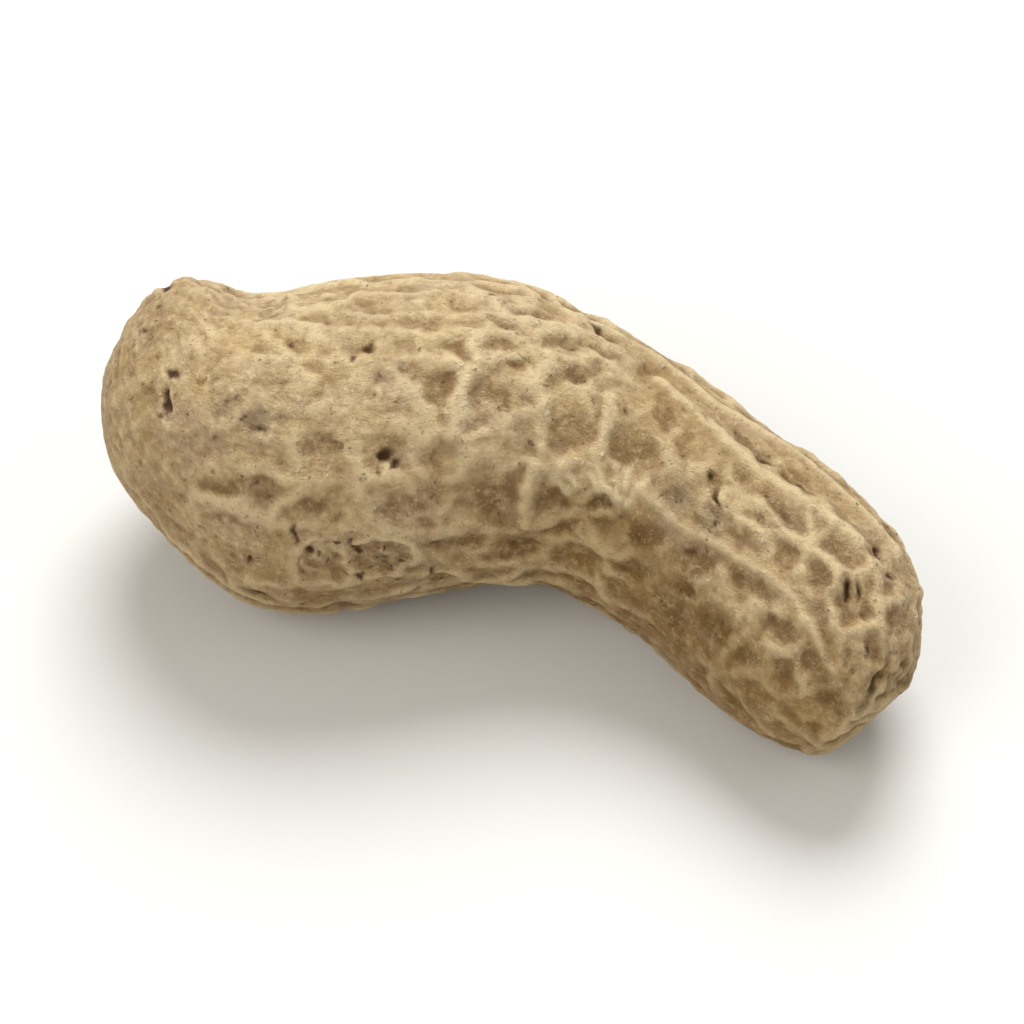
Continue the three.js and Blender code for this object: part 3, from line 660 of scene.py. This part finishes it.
height = 0.6 * height + 0.4 * spread(height, 1)
# how far each point stands above or sinks below its surroundings; the material uses it to paint raised parts lighter
# and hollows darker, as highlight and shade
cavity = np.clip((height - spread(height, 9)) / 0.07, -1, 1)
surface = lay(base + normal * height[:, None])
z = surface[:, 2]
surface[:, 2] = np.where(z > 0.12, z, 0.12 * np.exp((np.minimum(z, 0.12) - 0.12) / 0.12))

# ------------------------------------------------------------------ what the material reads

ridge_mask = np.clip(np.maximum(net * relief, drawn), 0, 1.3)
cell_mask = np.clip(hollow, 0, 1)
# painted shade: the lower side, the downward-facing parts and the lower flank of the small lobe are made browner and
# darker in the stain mask, as shade; the same mask also holds real brown staining in random patches, on the small lobe
# and at the stalk end, and is a little browner on the side turned from the camera
brown_side = field(base, 6.0, 11)
low_side_shade = smooth(-V - 0.58 * np.clip(U - 2, 0, 30), -1.0, 6.5)
under_side_shade = smooth(-normal[:, 1], 0.0, 0.95)
flank_shade = smooth(-(V + 1.15 * (U - 6.7) * (U > 6.7) + 0.25 * np.minimum(U - 6.7, 0)) - 1.2, -0.6, 2.2) * smooth(U, -6.0, 4.0)
stain_and_painted_shade = np.clip(0.12 + 0.30 * brown_side + 0.29 * smooth(U, 1.0, 9.0) + 0.15 * smooth(-U, 15.0, 19.0) + 0.65 * flank_shade + 0.35 * under_side_shade * low_side_shade + 0.2 * under_side_shade + 0.1 * smooth(-facing, -0.2, 0.6)
                + weak * (0.3 * field(base, 1.9, 93) + 0.22 * broken), 0, 1)


def new_mesh(name, verts, faces):
    me = bpy.data.meshes.new(name)
    me.vertices.add(len(verts))
    me.vertices.foreach_set("co", (verts * MM).astype(np.float32).ravel())
    me.loops.add(faces.size)
    me.loops.foreach_set("vertex_index", faces.astype(np.int32).ravel())
    me.polygons.add(len(faces))
    me.polygons.foreach_set("loop_start", (np.arange(len(faces)) * faces.shape[1]).astype(np.int32))
    me.update(calc_edges=True)
    me.validate()
    me.polygons.foreach_set("use_smooth", np.ones(len(me.polygons), bool))
    return me


mesh = new_mesh("peanut_shell", surface, quads)


def attribute(name, values, kind="FLOAT"):
    a = mesh.attributes.new(name, kind, "POINT")
    a.data.foreach_set("value" if kind == "FLOAT" else "vector", np.asarray(values, np.float32).ravel())


attribute("ridge", ridge_mask)
attribute("cavity", cavity)
attribute("cell", cell_mask)
attribute("dirt_and_groove_shade", np.clip(dirt_and_groove_shade, 0, 1))
attribute("pale", np.clip(pale, 0, 1))
attribute("grey", np.clip(grey, 0, 1))
attribute("stain_and_painted_shade", stain_and_painted_shade)
attribute("flow", flow, "FLOAT_VECTOR")

pod = bpy.data.objects.new("peanut_shell", mesh)
bpy.context.scene.collection.objects.link(pod)

# ------------------------------------------------------------------ material


def srgb(r, g, b):
    f = lambda c: c / 12.92 if c <= 0.04045 else ((c + 0.055) / 1.055) ** 2.4
    return (f(r / 255), f(g / 255), f(b / 255), 1.0)


def shell_material():
    mat = bpy.data.materials.new("peanut_shell")
    mat.use_nodes = True
    nt = mat.node_tree
    nt.nodes.clear()
    new, link = nt.nodes.new, nt.links.new
    out = new("ShaderNodeOutputMaterial")
    bsdf = new("ShaderNodeBsdfPrincipled")
    link(bsdf.outputs["BSDF"], out.inputs["Surface"])

    def attr(name):
        n = new("ShaderNodeAttribute")
        n.attribute_name = name
        return n

    def val(name):
        return attr(name).outputs["Fac"]

    flow_v = attr("flow").outputs["Vector"]
    geo = new("ShaderNodeTexCoord").outputs["Object"]

    def scaled(v, x, y, z_):
        m = new("ShaderNodeMapping")
        m.inputs["Scale"].default_value = (x, y, z_)
        link(v, m.inputs["Vector"])
        return m.outputs["Vector"]

    def noise_tex(v, scale, detail=3.0, rough_=0.55, distort=0.0):
        n = new("ShaderNodeTexNoise")
        n.inputs["Scale"].default_value = scale
        n.inputs["Detail"].default_value = detail
        n.inputs["Roughness"].default_value = rough_
        n.inputs["Distortion"].default_value = distort
        link(v, n.inputs["Vector"])
        return n.outputs["Fac"]

    def math_(op, a, b=None, c=None, clamp=False):
        n = new("ShaderNodeMath")
        n.operation = op
        n.use_clamp = clamp
        for k, x in enumerate((a, b, c)):
            if x is None:
                continue
            if isinstance(x, (int, float)):
                n.inputs[k].default_value = x
            else:
                link(x, n.inputs[k])
        return n.outputs[0]

    def ramp(v, lo, hi, out_lo=0.0, out_hi=1.0):
        n = new("ShaderNodeMapRange")
        n.interpolation_type = "SMOOTHSTEP"
        n.inputs["From Min"].default_value = lo
        n.inputs["From Max"].default_value = hi
        n.inputs["To Min"].default_value = out_lo
        n.inputs["To Max"].default_value = out_hi
        link(v, n.inputs["Value"])
        return n.outputs["Result"]

    def mix(fac, a, b, blend="MIX"):
        n = new("ShaderNodeMix")
        n.data_type = "RGBA"
        n.blend_type = blend
        n.clamp_factor = True
        if isinstance(fac, (int, float)):
            n.inputs["Factor"].default_value = fac
        else:
            link(fac, n.inputs["Factor"])
        for key, x in (("A", a), ("B", b)):
            sock = [s for s in n.inputs if s.name == key and s.type == "RGBA"][0]
            if isinstance(x, tuple):
                sock.default_value = x
            else:
                link(x, sock)
        return [s for s in n.outputs if s.type == "RGBA"][0]

    mm_geo = scaled(geo, 1000, 1000, 1000)          # millimetres
    streak_v = scaled(flow_v, 1.0, 1.0, 0.22)       # drawn out along the ribs

    n_big = noise_tex(mm_geo, 0.22, 3)
    n_hue = noise_tex(mm_geo, 0.31, 3, 0.6, 0.4)
    n_mid = noise_tex(mm_geo, 0.85, 4, 0.6)
    n_fine = noise_tex(mm_geo, 2.6, 5, 0.68)
    n_spot = noise_tex(mm_geo, 1.55, 3, 0.6)
    n_grain = noise_tex(mm_geo, 8.5, 3, 0.6)
    n_streak = noise_tex(streak_v, 2.6, 4, 0.62, 0.5)
    n_fibre = noise_tex(streak_v, 6.5, 3, 0.6, 0.4)

    def cells(scale, lo, hi, feature="F1"):
        v = new("ShaderNodeTexVoronoi")
        v.feature = feature
        v.inputs["Scale"].default_value = scale
        link(warped, v.inputs["Vector"])
        return ramp(v.outputs["Distance"], lo, hi)

    # a slightly bent space, so the small pits and creases aren't round or straight
    bend = new("ShaderNodeTexNoise")
    bend.inputs["Scale"].default_value = 1.9
    bend.inputs["Detail"].default_value = 2.0
    link(mm_geo, bend.inputs["Vector"])
    bent = new("ShaderNodeVectorMath")
    bent.operation = "MULTIPLY_ADD"
    link(bend.outputs["Color"], bent.inputs[0])
    bent.inputs[1].default_value = (0.7, 0.7, 0.7)
    link(mm_geo, bent.inputs[2])
    warped = bent.outputs["Vector"]

    ridge_a, cell_a, dirt_and_shade_a, pale_a, grey_a, stain_and_shade_a, cavity_a = (
        val(k) for k in ("ridge", "cell", "dirt_and_groove_shade", "pale", "grey", "stain_and_painted_shade", "cavity"))

    creases = cells(1.7, 0.0, 0.16, "DISTANCE_TO_EDGE")         # 0 in a crease
    pores = math_("MULTIPLY", cells(1.35, 0.2, 0.07), ramp(n_mid, 0.46, 0.6))
    pores2 = math_("MULTIPLY", cells(3.1, 0.24, 0.1), ramp(n_fine, 0.5, 0.64))

    # straw ground, browner in places
    colour = mix(ramp(n_big, 0.38, 0.62), srgb(179, 153, 113), srgb(189, 164, 125))
    colour = mix(ramp(n_mid, 0.35, 0.72, 0.0, 0.85), colour, srgb(200, 177, 139))
    # painted shade with real staining: browner where the stain mask is high, which takes in the lower side and
    # underside as shade
    colour = mix(math_("MULTIPLY", stain_and_shade_a, ramp(n_mid, 0.3, 0.7, 0.6, 1.0)), colour, srgb(130, 99, 53))
    # mauve in some places, yellower in others
    colour = mix(ramp(n_hue, 0.48, 0.64, 0.0, 0.5), colour, srgb(170, 146, 122))
    colour = mix(ramp(n_hue, 0.44, 0.3, 0.0, 0.4), colour, srgb(194, 166, 114))
    # ridges are bleached
    ridge_f = ramp(math_("ADD", ridge_a, math_("MULTIPLY", math_("SUBTRACT", n_fine, 0.5), 0.9)), 0.15, 0.95)
    colour = mix(math_("MULTIPLY", ridge_f, 0.68), colour, srgb(216, 196, 159))
    # hollows hold brown, some of them a mauve brown
    patchy = math_("ADD", math_("MULTIPLY", math_("SUBTRACT", n_fine, 0.5), 1.1), math_("MULTIPLY", math_("SUBTRACT", n_mid, 0.5), 0.9))
    cell_f = math_("MULTIPLY", ramp(math_("ADD", cell_a, patchy), 0.05, 0.9), ramp(cell_a, 0.0, 0.12))
    # the hollows are a darker yellow brown where the stain mask is high: painted shade on the lower side and underside,
    # as well as real staining
    cell_c = mix(ramp(math_("ADD", stain_and_shade_a, math_("MULTIPLY", math_("SUBTRACT", n_big, 0.5), 0.8)), 0.2, 0.75), srgb(130, 103, 70), srgb(100, 72, 35))
    colour = mix(math_("MULTIPLY", cell_f, 0.76), colour, cell_c)
    # mottling, fibres and grain
    colour = mix(ramp(n_spot, 0.5, 0.7, 0.0, 0.4), colour, srgb(132, 103, 63))
    colour = mix(ramp(n_spot, 0.5, 0.3, 0.0, 0.4), colour, srgb(219, 198, 156))
    colour = mix(ramp(n_fine, 0.5, 0.72, 0.0, 0.42), colour, srgb(126, 97, 60))
    colour = mix(ramp(n_fine, 0.46, 0.28, 0.0, 0.42), colour, srgb(223, 202, 163))
    colour = mix(ramp(n_streak, 0.45, 0.75, 0.0, 0.24), colour, srgb(128, 99, 61))
    colour = mix(ramp(n_fibre, 0.56, 0.78, 0.0, 0.2), colour, srgb(222, 201, 162))
    colour = mix(ramp(n_grain, 0.54, 0.8, 0.0, 0.4), colour, srgb(110, 83, 50))
    colour = mix(ramp(n_grain, 0.46, 0.22, 0.0, 0.34), colour, srgb(226, 206, 168))
    colour = mix(ramp(creases, 1.0, 0.0, 0.0, 0.07), colour, srgb(112, 84, 50))
    # painted highlight and painted shade: raised parts of the relief are lighter, its hollows darker
    colour = mix(ramp(cavity_a, 0.1, 0.95, 0.0, 0.3), colour, srgb(224, 204, 165))
    colour = mix(ramp(cavity_a, -0.1, -0.95, 0.0, 0.38), colour, srgb(114, 85, 51))
    # small pale grains, mostly on the ridges
    grains = math_("MULTIPLY", cells(1.7, 0.3, 0.1), ramp(n_spot, 0.44, 0.58))
    grains = math_("MULTIPLY", grains, ramp(math_("MAXIMUM", ridge_a, pale_a), 0.0, 0.8, 0.3, 1.0))
    colour = mix(math_("MULTIPLY", grains, 0.5), colour, srgb(234, 219, 184))
    # weathered, pale and dirty spots
    colour = mix(math_("MULTIPLY", grey_a, ramp(n_fine, 0.35, 0.65, 0.1, 0.65)), colour, srgb(124, 113, 94))
    colour = mix(math_("MULTIPLY", pale_a, 0.6), colour, srgb(228, 211, 176))
    # painted shade with real staining: the colour is multiplied darker and yellower by the stain mask, most on the
    # lower flank and the underside
    colour = mix(math_("MULTIPLY", stain_and_shade_a, 0.8), colour, (0.76, 0.69, 0.55, 1.0), "MULTIPLY")
    # dark holes and dirt, and the painted shade lines in the grooves beside the pale ridges
    dirt_and_shade_f = ramp(math_("ADD", dirt_and_shade_a, math_("MULTIPLY", math_("SUBTRACT", n_fine, 0.5), 0.5)), 0.22, 0.85)
    colour = mix(math_("MULTIPLY", dirt_and_shade_f, 0.93), colour, srgb(58, 35, 11))
    speck = math_("MAXIMUM", pores, math_("MULTIPLY", pores2, 0.6))
    colour = mix(math_("MULTIPLY", speck, 0.5), colour, srgb(84, 61, 36))
    link(colour, bsdf.inputs["Base Color"])

    link(ramp(n_fine, 0.2, 0.8, 0.74, 0.92), bsdf.inputs["Roughness"])
    bsdf.inputs["Specular IOR Level"].default_value = 0.13
    bsdf.inputs["Sheen Weight"].default_value = 0.03
    bsdf.inputs["Sheen Roughness"].default_value = 0.6

    # fine relief: grain, pores and creases, with short fibres along the ribs
    h = math_("MULTIPLY", n_fibre, 0.3)
    h = math_("ADD", h, math_("MULTIPLY", n_streak, 0.35))
    h = math_("ADD", h, math_("MULTIPLY", n_grain, 0.3))
    h = math_("SUBTRACT", h, math_("MULTIPLY", n_fine, 1.3))
    h = math_("ADD", h, math_("MULTIPLY", creases, 0.06))
    h = math_("SUBTRACT", h, math_("MULTIPLY", speck, 0.75))
    h = math_("ADD", h, math_("MULTIPLY", grains, 0.5))
    bump = new("ShaderNodeBump")
    bump.inputs["Strength"].default_value = 0.9
    bump.inputs["Distance"].default_value = 0.00018
    link(h, bump.inputs["Height"])
    link(bump.outputs["Normal"], bsdf.inputs["Normal"])
    return mat


mesh.materials.append(shell_material())
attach(pod, "root")
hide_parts("peanut_pod")

# ------------------------------------------------------------------ floor, light, camera


def plain(name, colour, rough_=0.9):
    mat = bpy.data.materials.new(name)
    mat.use_nodes = True
    b = mat.node_tree.nodes["Principled BSDF"]
    b.inputs["Base Color"].default_value = colour
    b.inputs["Roughness"].default_value = rough_
    b.inputs["Specular IOR Level"].default_value = 0.2
    return mat


floor_mesh = bpy.data.meshes.new("floor")
R = 3.0
FAR_GLOW = 0.12
floor_mesh.from_pydata([(-R, -R, 0), (R, -R, 0), (R, R, 0), (-R, R, 0)], [], [(0, 1, 2, 3)])
floor = bpy.data.objects.new("floor", floor_mesh)
floor_mat = plain("floor", (0.70, 0.70, 0.69, 1))
# far from the pod, past the lamps' reach, the floor glows faintly, so that it runs into the background
nodes, links = floor_mat.node_tree.nodes, floor_mat.node_tree.links
away = nodes.new("ShaderNodeVectorMath")
away.operation = "LENGTH"
links.new(nodes.new("ShaderNodeTexCoord").outputs["Object"], away.inputs[0])
glow = nodes.new("ShaderNodeMapRange")
glow.interpolation_type = "SMOOTHSTEP"
glow.inputs["From Min"].default_value, glow.inputs["From Max"].default_value = 0.3, 1.6
glow.inputs["To Min"].default_value, glow.inputs["To Max"].default_value = 0.0, FAR_GLOW
links.new(away.outputs["Value"], glow.inputs["Value"])
links.new(glow.outputs["Result"], nodes["Principled BSDF"].inputs["Emission Strength"])
nodes["Principled BSDF"].inputs["Emission Color"].default_value = (1.0, 0.97, 0.915, 1)
floor_mesh.materials.append(floor_mat)
bpy.context.scene.collection.objects.link(floor)

AZ, EL = TURN, LEAN
back = Vector((math.sin(AZ) * math.cos(EL), -math.cos(AZ) * math.cos(EL), math.sin(EL)))
right_v = Vector((math.cos(AZ), math.sin(AZ), 0))
up_v = right_v.cross(back) * -1
aim_uvw = np.array([0.15, -1.85, 11.0])
aim = Vector((lay(aim_uvw) * MM).tolist())
cam_data = bpy.data.cameras.new("camera")
cam_data.lens = 250
cam_data.sensor_width = 36
cam = bpy.data.objects.new("camera", cam_data)
FRAME_WIDTH = 0.0545
cam.location = aim + back * (FRAME_WIDTH / 36 * 250)
cam.rotation_mode = "QUATERNION"
cam.rotation_quaternion = (-back).to_track_quat("-Z", "Y")
cam_data.clip_start, cam_data.clip_end = 0.005, 20
bpy.context.scene.collection.objects.link(cam)
bpy.context.scene.camera = cam


def area(name, where, size, power, colour=(1, 1, 1)):
    d = bpy.data.lights.new(name, "AREA")
    d.shape = "DISK"
    d.size = size
    d.energy = power
    d.color = colour
    o = bpy.data.objects.new(name, d)
    o.location = where
    o.rotation_mode = "QUATERNION"
    o.rotation_quaternion = (aim - Vector(where)).to_track_quat("-Z", "Y")
    bpy.context.scene.collection.objects.link(o)


def around(azimuth, elevation, distance):
    """A place seen from the pod, azimuth counted as the camera's."""
    a, e = math.radians(azimuth) + AZ, math.radians(elevation)
    return aim + distance * Vector((math.sin(a) * math.cos(e), -math.cos(a) * math.cos(e), math.sin(e)))


area("key", around(172, 54, 0.7), 0.46, 5.5, (0.99, 0.997, 1.0))
area("fill", around(-50, 45, 0.8), 0.6, 2.7, (1.0, 0.962, 0.885))
area("rim", around(75, 40, 0.8), 0.5, 0.6, (1.0, 0.96, 0.88))

world = bpy.data.worlds.new("world")
world.use_nodes = True
world.node_tree.nodes["Background"].inputs["Color"].default_value = (1.0, 0.97, 0.915, 1)
world.node_tree.nodes["Background"].inputs["Strength"].default_value = 0.44
bpy.context.scene.world = world
bpy.context.scene.view_settings.view_transform = "Standard"
bpy.context.scene.view_settings.look = "None"
bpy.context.scene.view_settings.exposure = 0.0

bpy.context.view_layer.update()
